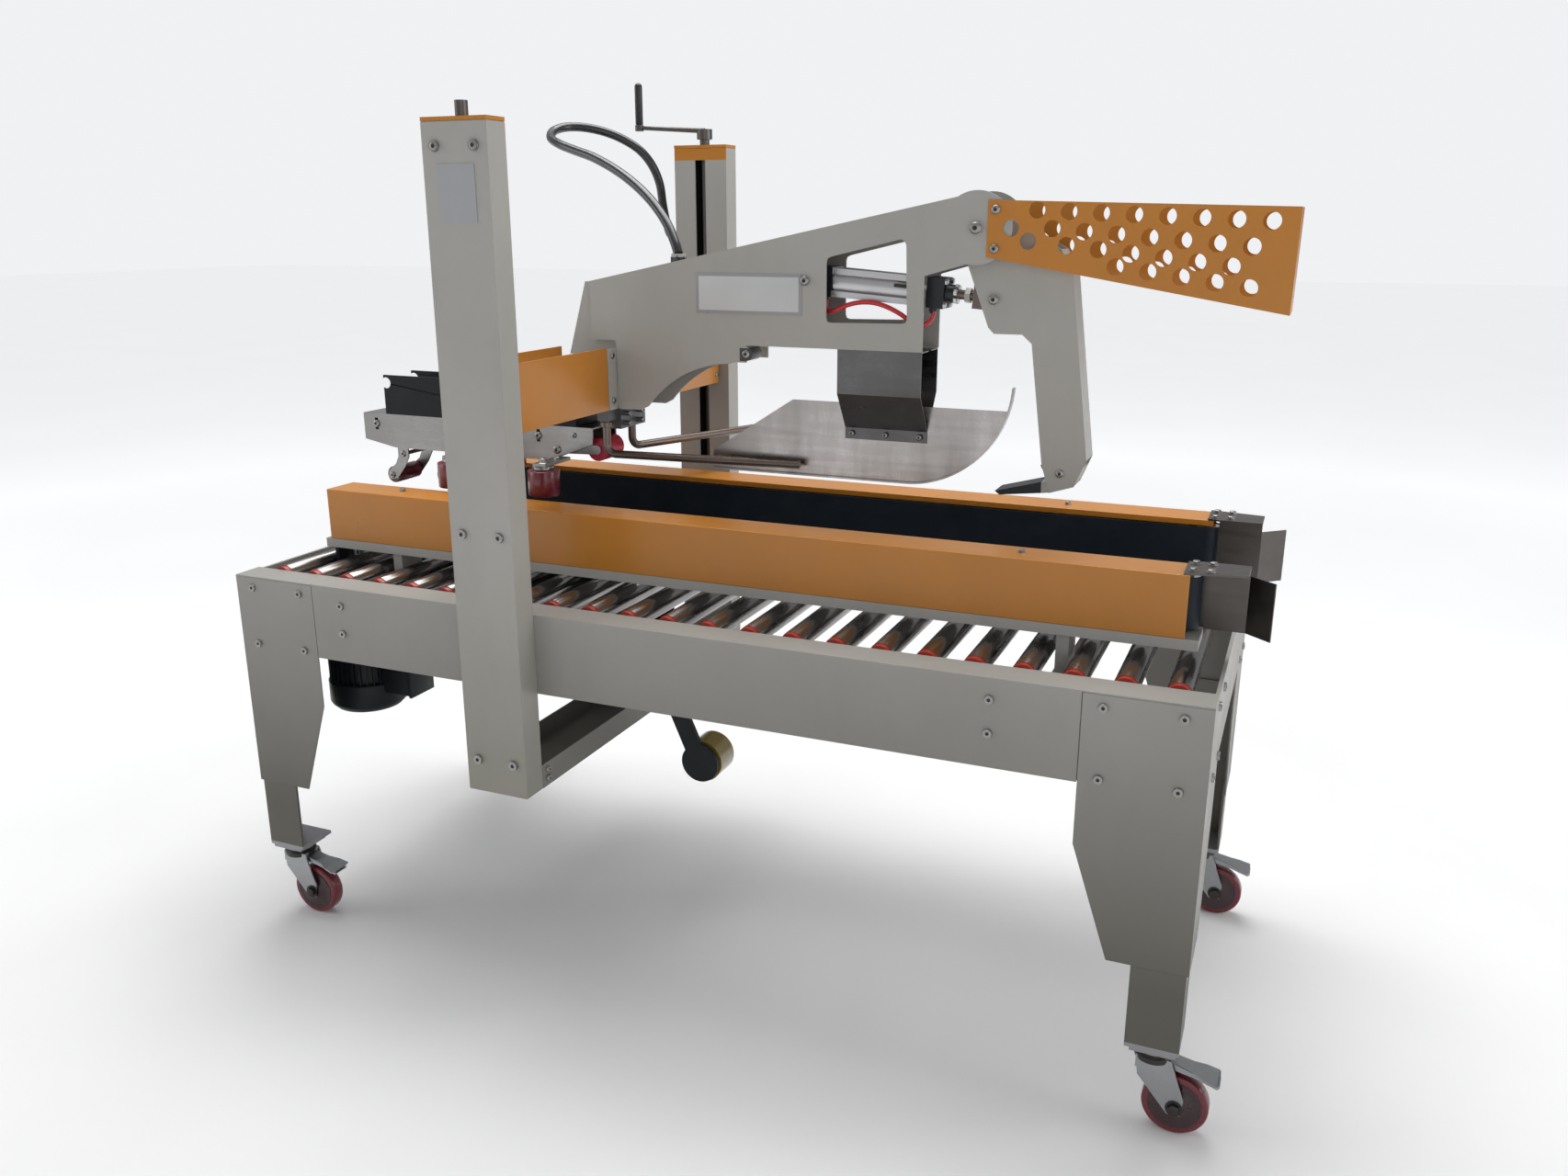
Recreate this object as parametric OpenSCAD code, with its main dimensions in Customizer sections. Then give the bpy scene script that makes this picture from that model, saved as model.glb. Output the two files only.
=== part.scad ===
/* [Roller bed] */
// Length of the roller bed
bed_l = 1760; // [1740:10:1800]
// Width of the roller bed over its side rails
bed_w = 780; // [760:10:800]
// Height of the rails' top above the floor
bed_h = 710; // [700:5:760]
// Distance from one roller to the next
roller_pitch = 75; // [70:1:76]
// Diameter of a bed roller
roller_d = 38; // [32:1:42]

/* [Columns] */
// Height of the columns above the floor
column_top = 1494; // [1480:2:1520]
// Width of a column along the bed
column_w = 120; // [110:2:130]
// Depth of a column across the bed
column_d = 48; // [46:1:56]
// Place of the columns along the bed
column_x = -279; // [-290:1:-270]

/* [Belt drives] */
// Distance between the faces of the two side belts
belt_gap = 300; // [290:2:340]
// Height of the top of the belt covers
cover_top = 850; // [846:1:870]
// Radius of a belt pulley
pulley_r = 22; // [20:1:24]
// Width of the yellow cover
cover_w = 75; // [70:1:80]

/* [Folding head] */
// Underside of the boom
boom_z = 1138; // [1130:1:1145]
// Width of the boom across the bed
boom_w = 100; // [96:2:108]
// Lower edge of the fold plate
fold_z = 905; // [900:1:920]
// Radius of the upturned nose of the fold plate
fold_r = 186; // [180:2:200]

/* [Casters] */
// Diameter of a caster wheel
wheel_d = 100; // [96:2:104]
// Distance from the swivel axis to the wheel axis
trail = 38; // [34:1:40]

/* [Hidden] */
$fn = 40;

// Everything below is laid out from the centre of the bed, then moved so that
// the origin lies under the middle of the whole machine.
half_l = bed_l / 2;
half_w = bed_w / 2;
pedal_reach = 100;
screw_head_h = 4;
pedal_tip = half_l - 42 + pedal_reach;
bed_x = -(pedal_tip - half_l - screw_head_h) / 2;
sheet = 3;
fit = 0.06;

rail_h = 142;
flange_w = 59;
rail_bottom = bed_h - rail_h;
shell_w = 180;
shell_wide_z = 470;
shell_foot_w = 120;
shell_foot_z = 290;
foot_w = 80;
foot_bottom = 150;
foot_top = 480;
foot_sheet = 4;
caster_x = half_l - 42;
caster_y = half_w - 40;
wheel_r = wheel_d / 2;
axle_r = 6;

roller_z = 697;
roller_n = 23;
roller_end = half_w - flange_w - 1;
spindle_end = half_w - sheet;
spindle_r = 5;
roller_cap = 10;
split_first = -600;
split_last = -225;
split_half = 62;

column_y0 = half_w;
column_y1 = half_w + column_d;
column_bottom = 390;
column_sheet = 4;
slot_w = 23;
screw_y = half_w + column_d / 2;
screw_r = 10;
screw_top = column_top + 30;
bolt_dx = 36;
crank_len = 154;

cover_inner = belt_gap / 2 + 5;
cover_outer = cover_inner + cover_w;
belt_t = 3;
belt_y = belt_gap / 2 + belt_t + pulley_r;
belt_z0 = 756;
belt_z1 = 838;
strip_z0 = 735;
strip_z1 = 752;
drive_x = -780;
idler_x = 808;
cover_x0 = -789;
cover_x1 = 818;
shaft_r = 8;
guide_bar_x = 637.5;
guide_bar_z = 650;
guide_bar_r = 12.5;
motor_r = 78;

beam_x0 = -337;
beam_x1 = -241;
beam_z0 = 1018;
beam_z1 = 1100;
cover_z0 = 1013;
cover_z1 = 1127;
beam_end = half_w - 5;
nut_z0 = 1035;
nut_z1 = 1095;

kick_x = 430;
kick_z = 1338;
kick_half = 30;
nose_r = 58;
pin_x = 459;
pin_z = 1226;
cyl_x = 137;
cyl_z = 1251;
cyl_tilt = atan2(cyl_z - pin_z, pin_x - cyl_x);
cyl_reach = norm([pin_x - cyl_x, cyl_z - pin_z]);

shank_x = -262;
near_shank_y = -55;
far_shank_y = 40;
rod_z = 927;
rod_r = 7.5;
rod_bend = 18;
rod_reach = 378;
rod_shank_top = 1010;
fold_cx = 308;

press_y = 118;
press_r = 30;
press_z0 = 852;
press_z1 = 900;
press_near_x = [-365, -571];
press_far_x = [-600, -690];
apply_pivot_x = -380;
apply_x = -298;
apply_z = 928;
apply_r = 22;
buff_pivot_x = -572;
buff_x = -655;
buff_z = 850;
buff_r = 24;
arm_pivot_z = 925;
exit_x = -786;
exit_z = 844;
exit_r = 17;
tape_half = 45;

roll_x = -88;
roll_z = 318;
roll_r = 42;
roll_half = 29;

// Route of the supply hose from the far column to the top of the boom
hose_r = 9;
hose_route = [
    [-356.2, 420, 1318], [-368, 419, 1321], [-374, 415, 1344], [-377, 406, 1382],
    [-377, 394, 1424], [-386, 380, 1460], [-406, 366, 1490], [-436, 349, 1512],
    [-470, 330, 1527], [-505, 305, 1535], [-530, 275, 1534], [-537, 240, 1524],
    [-522, 208, 1509], [-485, 180, 1495], [-435, 158, 1481], [-380, 135, 1466],
    [-320, 109, 1443], [-262, 80, 1415], [-210, 52, 1382], [-168, 27, 1345],
    [-142, 8, 1311], [-132, 1, 1292]
];
air_r = 4;
air_route = [
    [161, -14, 1222], [163, -22, 1206], [172, -29, 1199], [187, -31, 1203], [206, -31, 1211],
    [228, -31, 1216], [252, -31, 1216], [276, -31, 1210], [300, -31, 1199], [320, -30, 1186],
    [338, -24, 1181], [350, -16, 1190], [353, -12, 1208]
];

module at_bed() { translate([bed_x, 0, 0]) children(); }
module far_side() { mirror([0, 1, 0]) children(); }
module box(p, q) { translate(p) cube(q - p); }

// A flat outline in X and Z, thick from y0 to y1
module slab(y0, y1) { translate([0, y1, 0]) rotate([90, 0, 0]) linear_extrude(y1 - y0) children(); }

// A round bar along Y, Z or X
module bar_y(x, z, r, y0, y1) { translate([x, y0, z]) rotate([-90, 0, 0]) cylinder(r=r, h=y1 - y0); }
module bar_z(x, y, r, z0, z1) { translate([x, y, z0]) cylinder(r=r, h=z1 - z0); }
module bar_x(y, z, r, x0, x1) { translate([x0, y, z]) rotate([0, 90, 0]) cylinder(r=r, h=x1 - x0); }

// Sweeps a round tube along a route
function unit(v) = v / norm(v);
function heading(p, i) = unit(p[min(i + 1, len(p) - 1)] - p[max(i - 1, 0)]);
function side_of(d) = unit(cross(d, [0.11, 0.05, 1]));
function ring(p, i, r, n) =
    let (d = heading(p, i), s = side_of(d), u = cross(s, d))
    [for (k = [0:n - 1]) p[i] + r * (cos(360 * k / n) * s + sin(360 * k / n) * u)];
module tube(p, r, n) {
    rings = len(p);
    points = [for (i = [0:rings - 1]) each ring(p, i, r, n)];
    sides = [for (i = [0:rings - 2], k = [0:n - 1])
        [i * n + k, i * n + (k + 1) % n, (i + 1) * n + (k + 1) % n, (i + 1) * n + k]];
    first = [[for (k = [n - 1:-1:0]) k]];
    last = [[for (k = [0:n - 1]) (rings - 1) * n + k]];
    polyhedron(points, concat(sides, first, last), convexity=6);
}

// ---- bed and legs ----

module rail() {
    at_bed() color("gainsboro") {
        box([-half_l, -half_w, bed_h - sheet], [half_l, -half_w + flange_w, bed_h]);
        box([shell_w - half_l + 1, -half_w, rail_bottom], [half_l - shell_w - 1, sheet - half_w, bed_h - 1]);
        box([shell_w - half_l + 1, -half_w, rail_bottom], [half_l - shell_w - 1, 40 - half_w, rail_bottom + sheet]);
    }
}
module rail_near() { rail(); }
module rail_far() { far_side() rail(); }

// The folded corner of the bed: a wide gusset that narrows towards the foot
module shell_outline(side) {
    polygon([[0, bed_h - sheet], [-side, bed_h - sheet], [-side, shell_wide_z],
        [-shell_foot_w, shell_foot_z], [0, shell_foot_z]]);
}
module corner_shell() {
    translate([half_l, 0, 0]) slab(-half_w, sheet - half_w) shell_outline(shell_w);
    translate([half_l - sheet, -half_w, 0]) rotate([0, 0, 90]) mirror([1, 0, 0])
        slab(-sheet, 0) shell_outline(shell_w);
}
module end_plate() {
    difference() {
        box([half_l - 2 * sheet, 5 - half_w, rail_bottom], [half_l - sheet, half_w - 5, bed_h - sheet]);
        box([half_l - 3 * sheet, -245, 600], [half_l, -195, 650]);
    }
    box([half_l - sheet, shell_w - half_w + 1, rail_bottom], [half_l, half_w - shell_w - 1, bed_h - sheet]);
}
module bed_end() {
    corner_shell();
    far_side() corner_shell();
    end_plate();
}
module leg_shells() {
    at_bed() color("gainsboro") {
        bed_end();
        mirror([1, 0, 0]) bed_end();
    }
}

module foot() {
    inset = sheet + 0.5;
    x1 = half_l - inset;
    y0 = inset - half_w;
    box([x1 - foot_w, y0, foot_bottom], [x1, y0 + foot_sheet, foot_top]);
    box([x1 - foot_sheet, y0, foot_bottom], [x1, y0 + foot_w, foot_top]);
    box([x1 - foot_w, y0, foot_bottom], [x1, y0 + foot_w, foot_bottom + 6]);
    box([caster_x - 34, -caster_y - 34, 143], [caster_x + 34, 34 - caster_y, foot_bottom]);
}
module leg_feet() {
    at_bed() color("lightgray")
        for (mx = [0, 1], my = [0, 1]) mirror([mx, 0, 0]) mirror([0, my, 0]) foot();
}

// ---- columns and the beam below the bed ----

module column() {
    x0 = column_x - column_w / 2;
    x1 = column_x + column_w / 2;
    in_y0 = -column_y1 + column_sheet;
    in_y1 = -column_y0 - column_sheet;
    at_bed() color("gainsboro") difference() {
        box([x0, -column_y1, column_bottom], [x1, -column_y0, column_top]);
        box([x0 + column_sheet, in_y0, column_bottom + 10], [x1 - column_sheet, in_y1, column_top + 1]);
        box([column_x - slot_w / 2, -column_y0 - 9, 840], [column_x + slot_w / 2, 1 - column_y0, 1470]);
    }
}
module column_near() { column(); }
module column_far() { far_side() column(); }

module base_beam() {
    x0 = column_x - column_w / 2;
    x1 = column_x + column_w / 2;
    y1 = column_y0 - 0.5;
    at_bed() color("gainsboro") {
        box([x0, -y1, column_bottom], [x1, y1, column_bottom + sheet]);
        box([x0, -y1, column_bottom], [x0 + sheet, y1, 434]);
        box([x1 - sheet, -y1, column_bottom], [x1, y1, 434]);
    }
}

// A roller tube with an end cap on each end, on a thinner spindle
module bed_roller(x, y0, y1, spindle_y0, spindle_y1) {
    bar_y(x, roller_z, roller_d / 2, y0 + roller_cap, y1 - roller_cap);
    bar_y(x, roller_z, roller_d / 2 - 1, y0, y1);
    bar_y(x, roller_z, spindle_r, spindle_y0, spindle_y1);
}
module bed_rollers() {
    at_bed() color("silver") for (i = [0:roller_n - 1]) {
        x = (i - (roller_n - 1) / 2) * roller_pitch;
        if (x < split_first - 1 || x > split_last + 1)
            bed_roller(x, -roller_end, roller_end, -spindle_end, spindle_end);
        else {
            bed_roller(x, -roller_end, -split_half - 3, -spindle_end, -split_half);
            bed_roller(x, split_half + 3, roller_end, split_half, spindle_end);
        }
    }
}

// Top plates, screw heads, the label plate and the guide bars of the belt drives
module screw_head(x, z) { bar_y(x, z, 6.5, -half_w - 4, -half_w); }
module side_trim() {
    x0 = column_x - column_w / 2;
    x1 = column_x + column_w / 2;
    difference() {
        box([x0, -column_y1, column_top], [x1, -column_y0, column_top + 6]);
        bar_z(column_x, -screw_y, screw_r + fit, column_top - 1, column_top + 7);
    }
    for (x = [column_x - bolt_dx, column_x + bolt_dx], z = [450, 852, 1458])
        bar_y(x, z, 8, -column_y1 - 5, -column_y1);
    for (x = [-841, -730, 730, 841], z = [578, 688]) screw_head(x, z);
    for (x = [-634, 566], z = [623, 676]) screw_head(x, z);
    for (y = [-235, -320], z = [578, 688], mx = [0, 1])
        mirror([mx, 0, 0]) bar_x(y, z, 6.5, half_l, half_l + screw_head_h);
}
module frame_trim() {
    at_bed() color("goldenrod") {
        side_trim();
        far_side() side_trim();
        box([-313, -column_y1 - 1, 1345], [-245, -column_y1, 1432]);
        bar_x(420, 1318, 13, column_x - column_w / 2 - 14, column_x - column_w / 2);
        for (x = [-guide_bar_x, guide_bar_x])
            bar_y(x, guide_bar_z, guide_bar_r, sheet - half_w, half_w - sheet);
    }
}

// ---- lift screws and crank ----

module lift_screw() { at_bed() color("dimgray") bar_z(column_x, -screw_y, screw_r, column_bottom + 10.3, screw_top); }
module screw_near() { lift_screw(); }
module screw_far() { far_side() lift_screw(); }

module crank_arm() {
    hub_z = screw_top - 12;
    at_bed() translate([column_x, screw_y, 0]) color("dimgray") {
        difference() {
            bar_z(0, 0, 16, hub_z, screw_top + 8);
            bar_z(0, 0, screw_r, hub_z - 1, screw_top);
        }
        hull() {
            translate([-8, 0, screw_top + 5.5]) rotate([0, 90, 0]) cylinder(r=5, h=8);
            translate([6 - crank_len, 0, screw_top + 14]) rotate([0, 90, 0]) cylinder(r=4, h=6);
        }
        bar_z(-crank_len, 0, 9, screw_top + 8, screw_top + 20);
        bar_z(-crank_len, 0, 4, screw_top + 20, screw_top + 96);
    }
}
module crank_grip() {
    at_bed() translate([column_x - crank_len, screw_y, 0]) color("black") difference() {
        union() {
            bar_z(0, 0, 8, screw_top + 21, screw_top + 96);
            translate([0, 0, screw_top + 96]) sphere(r=8);
        }
        bar_z(0, 0, 4 + fit, screw_top + 20, screw_top + 97);
    }
}

// ---- lifting head ----

module beam_side() {
    box([column_x - 8, -half_w - 12, nut_z0], [column_x + 8, -beam_end + 2, nut_z1]);
    difference() {
        box([column_x - 30, -screw_y - 17, nut_z0], [column_x + 30, -screw_y + 17, nut_z1]);
        bar_z(column_x, -screw_y, screw_r + fit, nut_z0 - 1, nut_z1 + 1);
    }
}
module head_beam() {
    at_bed() color("gainsboro") {
        difference() {
            box([beam_x0 + 2, -beam_end, beam_z0], [beam_x1, beam_end, beam_z1]);
            box([beam_x0 + 6, -beam_end - 1, beam_z0 + 4], [beam_x1 - 4, beam_end + 1, beam_z1 - 4]);
        }
        for (y = [-beam_end, beam_end - 6])
            box([beam_x0 + 6, y, beam_z0 + 4], [beam_x1 - 4, y + 6, beam_z1 - 4]);
        beam_side();
        far_side() beam_side();
        for (s = [-1, 1]) box([beam_x1, s * 66 - 14, cover_z0], [beam_x1 + 3, s * 66 + 14, cover_z1 - 3]);
    }
}
module beam_cover() {
    y0 = 2 - beam_end;
    box([beam_x1, y0, cover_z0], [beam_x1 + 2, -81, cover_z1]);
    box([beam_x0, y0, cover_z0], [beam_x0 + 2, -81, cover_z1]);
}
module beam_covers() {
    at_bed() color("orange") {
        beam_cover();
        far_side() beam_cover();
    }
}

module boom_outline() {
    union() {
        polygon([[-290, boom_z], [346, boom_z], [346, 1262], [kick_x + 16, 1290],
            [kick_x + 30, kick_z], [kick_x - 14, kick_z + 52], [-290, 1243]]);
        translate([kick_x, kick_z]) circle(r=nose_r);
    }
}
module window_outline() {
    polygon([[174, 1190], [176, 1184], [182, 1182], [310, 1184], [316, 1186], [318, 1192],
        [314, 1310], [311, 1317], [304, 1320], [182, 1291], [176, 1288], [174, 1282]]);
}
module boom() {
    half = boom_w / 2;
    at_bed() color("whitesmoke") {
        for (y = [-half, half - sheet])
            slab(y, y + sheet) difference() {
                boom_outline();
                window_outline();
            }
        box([-290, sheet - half, boom_z], [130, half - sheet, boom_z + sheet]);
        slab(sheet - half, half - sheet)
            polygon([[-290, 1240], [380, 1379], [380, 1382], [-290, 1243]]);
        slab(sheet - half, half - sheet) polygon([[-290, boom_z], [-287, boom_z], [-287, 1242], [-290, 1242]]);
        bar_y(kick_x, kick_z, 6, -half - 6, half + 6);
        bar_y(cyl_x, cyl_z, 5, -half - 5, half + 5);
        bar_z(-131, 0, 13, 1276, 1292);
    }
}

// Tail plate behind the boom, the arched support below it and the rod clamp
module boom_bracket() {
    half = boom_w / 2;
    at_bed() color("gainsboro") {
        slab(-38, 38) polygon([[-290, 1242], [-306, 1242], [-345, 1109], [beam_x0 + 1, 1109],
            [beam_x0 + 1, beam_z1], [beam_x1, beam_z1], [beam_x1, boom_z], [-290, boom_z]]);
        for (y = [-half, half - 4])
            slab(y, y + 4) difference() {
                polygon([[beam_x1 + 3, 1013], [beam_x1 + 3, boom_z], [24, boom_z], [24, 1108],
                    [0, 1108], [-190, 1013]]);
                translate([0, 882]) circle(r=223, $fn=96);
            }
        box([beam_x1 - 4, 4 - half, boom_z - 4], [24, half - 4, boom_z]);
        bar_y(24, 1123, 12, -half, -8);
        difference() {
            union() {
                box([shank_x - 20, -35, 972], [shank_x + 20, far_shank_y + 18, beam_z0]);
                box([shank_x - 12, near_shank_y - 12, 990], [shank_x + 12, -34, beam_z0]);
            }
            for (y = [near_shank_y, far_shank_y]) bar_z(shank_x, y, rod_r + fit, 971, beam_z0 + 1);
        }
        for (y = [-22, far_shank_y - 13], z = [982, 1001])
            bar_x(y, z, 5, shank_x + 20, shank_x + 32);
    }
}

// Perforated guard: two sheets on the sides of the boom, joined at the outer end
guard_x0 = 448;
guard_x1 = 912;
function guard_top(x) = 1381 - (x - guard_x0) * 0.026;
function guard_low(x) = 1293 - (x - guard_x0) * 0.171;
guard_rows = [[0.14, 0, 8], [0.4, 25, 7], [0.62, 48, 6], [0.81, 125, 5]];
module guard_sheet_outline() {
    difference() {
        polygon([[guard_x0, guard_top(guard_x0)], [guard_x1, guard_top(guard_x1)],
            [guard_x1 - 2, guard_low(guard_x1)], [guard_x0, guard_low(guard_x0)]]);
        for (row = guard_rows, i = [0:row[2] - 1]) {
            x = guard_x0 + 78 + row[1] + i * 49.5;
            translate([x, guard_top(x) + row[0] * (guard_low(x) - guard_top(x))]) circle(r=13);
        }
        translate([guard_x0 + 38, 1338]) circle(r=13);
        translate([guard_x0 + 66, 1318]) circle(r=13);
    }
}
module guard() {
    half = boom_w / 2 + 0.2;
    at_bed() color("orange") {
        for (y = [-half - 2, half]) slab(y, y + 2) guard_sheet_outline();
        slab(-half, half) polygon([[guard_x1 - 4, guard_low(guard_x1)], [guard_x1 - 2, guard_low(guard_x1)],
            [guard_x1 - 1, guard_top(guard_x1)], [guard_x1 - 3, guard_top(guard_x1)]]);
        for (s = [-1, 1], z = [1306, 1366])
            translate([guard_x0 + 13, s * (half + 4), z]) rotate([90, 0, 0]) cylinder(r=6, h=4, center=true);
    }
}

// Upright steel web with a narrow ski runner along its lower edge and nose
module runner_outline(t) {
    difference() {
        union() {
            translate([-66, fold_z]) square([66 + fold_cx, t]);
            difference() {
                translate([fold_cx, fold_z + fold_r]) circle(r=fold_r, $fn=96);
                translate([fold_cx, fold_z + fold_r]) circle(r=fold_r - t, $fn=96);
                translate([fold_cx - 300, fold_z - 20]) square([300, 500]);
                translate([fold_cx, fold_z + fold_r - 10]) square([300, 300]);
            }
        }
    }
}
module web_outline() {
    top = fold_z + 136;
    difference() {
        polygon([[-66, fold_z + 2], [-66, fold_z + 34], [93, top], [fold_cx + fold_r, top],
            [fold_cx + fold_r, fold_z + 2]]);
        difference() {
            translate([fold_cx, fold_z - 10]) square([300, 400]);
            translate([fold_cx, fold_z + fold_r]) circle(r=fold_r - 2, $fn=96);
        }
    }
}
module fold_plate() {
    at_bed() color("lightgray") {
        slab(-1.25, 1.25) web_outline();
        slab(-7, 7) runner_outline(3);
    }
}
module fold_leg() {
    box([195, -48, 1062], [345, -46, boom_z - 0.2]);
    box([195, -48, boom_z - 2.2], [345, -8, boom_z - 0.2]);
    translate([195, 0, 0]) rotate([90, 0, 90]) linear_extrude(150)
        polygon([[-48, 1062], [-46, 1062], [-1.5, 1000], [-1.5, 998], [-3.5, 998]]);
    box([195, -3.5, 978], [345, -1.5, 999]);
    for (x = [208, 270, 332]) bar_y(x, 988, 4, -6.5, -3.5);
}
module fold_bracket() {
    at_bed() color("silver") {
        fold_leg();
        far_side() fold_leg();
    }
}

// A rod held upright in the clamp and bent to run along under the boom
module side_rod(dir) {
    bar_z(0, 0, rod_r, rod_z + rod_bend, rod_shank_top);
    rotate([0, 0, dir]) {
        translate([rod_bend, 0, rod_z + rod_bend]) rotate([90, 0, 0])
            intersection() {
                rotate_extrude($fn=48) translate([rod_bend, 0]) circle(r=rod_r, $fn=24);
                translate([-60, -60, -30]) cube([60, 60, 60]);
            }
        bar_x(0, rod_z, rod_r, rod_bend, rod_reach);
    }
}
module side_rod_near() { at_bed() translate([shank_x, near_shank_y, 0]) color("dimgray") side_rod(5.5); }
module side_rod_far() { at_bed() translate([shank_x, far_shank_y, 0]) color("dimgray") side_rod(67); }

// Rear-flap kicker: a folded arm on the boom's nose with a dark foot
module kicker_outline() {
    union() {
        translate([kick_x, kick_z]) circle(r=42);
        polygon([[kick_x - 34, kick_z - 8], [413, 1280], [451, 1181], [461, 1171], [508, 1171],
            [524, 1157], [551, 961], [566, 914], [606, 927], [624, 972], [584, 1268], [563, 1306],
            [kick_x + 14, kick_z + 34]]);
    }
}
module kicker_arm() {
    at_bed() {
        color("gainsboro") {
            for (y = [-kick_half, kick_half - sheet])
                slab(y, y + sheet) difference() {
                    kicker_outline();
                    translate([kick_x, kick_z]) circle(r=6.06);
                }
            slab(sheet - kick_half, kick_half - sheet)
                polygon([[584, 1268], [624, 972], [621, 972], [581, 1266], [561, 1303], [563, 1306]]);
            bar_y(pin_x, pin_z, 5, -kick_half - 5, kick_half + 5);
        }
        color("black") slab(sheet - kick_half, kick_half - sheet)
            polygon([[474, 910], [482, 904], [566, 914], [606, 928], [618, 958], [600, 968], [549, 959],
                [562, 934]]);
    }
}

// The air cylinder lies along the line from its rear pin to the kicker's pin
module along_cylinder() { at_bed() translate([cyl_x, 0, cyl_z]) rotate([0, cyl_tilt, 0]) children(); }
module air_cylinder() {
    along_cylinder() color("silver") difference() {
        union() {
            translate([12, -25, -25]) cube([26, 50, 50]);
            bar_x(0, 0, 23, 38, 206);
            translate([206, -25, -25]) cube([30, 50, 50]);
            bar_x(0, 0, 15, 236, 256);
            translate([-9, -12, -10]) cube([22, 24, 20]);
        }
        bar_x(0, 0, 8 + fit, 60, 257);
        bar_y(0, 0, 5 + fit, -20, 20);
    }
}

// The rod's fork is open towards the kicker's pin, with room for the swing
module cylinder_rod() {
    along_cylinder() color("dimgray") {
        bar_x(0, 0, 8, 70, 286);
        difference() {
            translate([282, -9, -20]) cube([cyl_reach + 8 - 282, 18, 40]);
            translate([300, -10, -15]) cube([60, 20, 30]);
        }
    }
}

module air_hose() { at_bed() color("crimson") tube(air_route, air_r, 8); }
module supply_hose() { at_bed() color("black") tube(hose_route, hose_r, 10); }

// ---- upper tape head ----

module exit_fork_outline() {
    polygon([[-768, 912], [-742, 912], [-742, 884], [-754, 862], [-774, 838], [-796, 834], [-798, 850],
        [-776, 868], [-768, 884]]);
}
module press_arm(x) {
    box([x - 14, tape_half, 907], [x + 14, press_y + 14, 913]);
    bar_z(x, press_y, 20, press_z1 + 0.5, 907);
    bar_z(x, press_y, 6, press_z0 - 1, press_z1 + 1);
}
module tape_frame() {
    at_bed() color("lightgray") {
        for (y = [-tape_half, tape_half - sheet])
            slab(y, y + sheet) difference() {
                polygon([[-843, 971], [-843, 917], [-768, 903], [-395, 903], [-300, 940], [-300, 971]]);
                for (x = [-811, -421]) translate([x - 4, 938]) square([8, 24]);
            }
        box([-843, sheet - tape_half, 968], [-300, tape_half - sheet, 971]);
        box([-843, sheet - tape_half, 920], [-840, tape_half - sheet, 968]);
        for (y = [-39, 36]) slab(y, y + sheet) exit_fork_outline();
        bar_y(exit_x, exit_z, 4, -39, 39);
        bar_y(-755, 890, 4, -39, 39);
        box([-768, sheet - tape_half, 906], [-742, tape_half - sheet, 912]);
        for (x = press_far_x) press_arm(x);
        for (x = press_near_x) far_side() press_arm(x);
        for (x = [apply_pivot_x, buff_pivot_x]) bar_y(x, arm_pivot_z, 6, -tape_half, tape_half);
    }
}
module tape_box() {
    at_bed() color("black") {
        for (y = [-tape_half, tape_half - sheet])
            slab(y, y + sheet) difference() {
                polygon([[-785, 971.2], [beam_x0 + 2, 971.2], [beam_x0 + 2, 1050], [-785, 1050]]);
                translate([-779, 1034]) circle(r=11);
            }
        box([-785, sheet - tape_half, 971.2], [beam_x0 + 2, tape_half - sheet, 974]);
        box([-785, sheet - tape_half, 974], [-782, tape_half - sheet, 1018]);
        box([beam_x0 - 1, sheet - tape_half, 974], [beam_x0 + 2, tape_half - sheet, 1050]);
        bar_y(-600, 1030, 6, sheet - tape_half, tape_half - sheet);
        bar_y(-480, 1000, 6, sheet - tape_half, tape_half - sheet);
    }
}

// A sprung arm on its pivot at px, with a roller of radius r at x, z
module roller_arm(px, x, z, r) {
    dx = x - px;
    dz = z - arm_pivot_z;
    run = norm([dx, dz]);
    at_bed() translate([px, 0, arm_pivot_z]) {
        color("lightgray") for (y = [-35, 32])
            slab(y, y + 3) difference() {
                union() {
                    circle(r=13);
                    polygon([[-dz, dx] * 9 / run, [dx, dz] + [-dz, dx] * 9 / run,
                        [dx, dz] - [-dz, dx] * 9 / run, -[-dz, dx] * 9 / run]);
                    translate([dx, dz]) circle(r=9);
                }
                circle(r=6.06);
            }
        color("lightgray") bar_y(dx / 2, dz / 2, 5, -32, 32);
        color("firebrick") bar_y(dx, dz, r, -31.5, 31.5);
        color("lightgray") bar_y(dx, dz, 5, -32, 32);
    }
}
module apply_arm() { roller_arm(apply_pivot_x, apply_x, apply_z, apply_r); }
module buff_arm() { roller_arm(buff_pivot_x, buff_x, buff_z, buff_r); }
module exit_roller() {
    at_bed() color("firebrick") difference() {
        bar_y(exit_x, exit_z, exit_r, -35, 35);
        bar_y(exit_x, exit_z, 4 + fit, -36, 36);
    }
}
module press_roller(x, y) {
    at_bed() color("firebrick") difference() {
        bar_z(x, y, press_r, press_z0, press_z1);
        bar_z(x, y, 6 + fit, press_z0 - 1, press_z1 + 1);
    }
}
module press_roller_1() { press_roller(press_near_x[0], -press_y); }
module press_roller_2() { press_roller(press_far_x[0], press_y); }
module press_roller_3() { press_roller(press_near_x[1], -press_y); }
module press_roller_4() { press_roller(press_far_x[1], press_y); }

// ---- side belt drives, drawn for the near side ----

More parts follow.
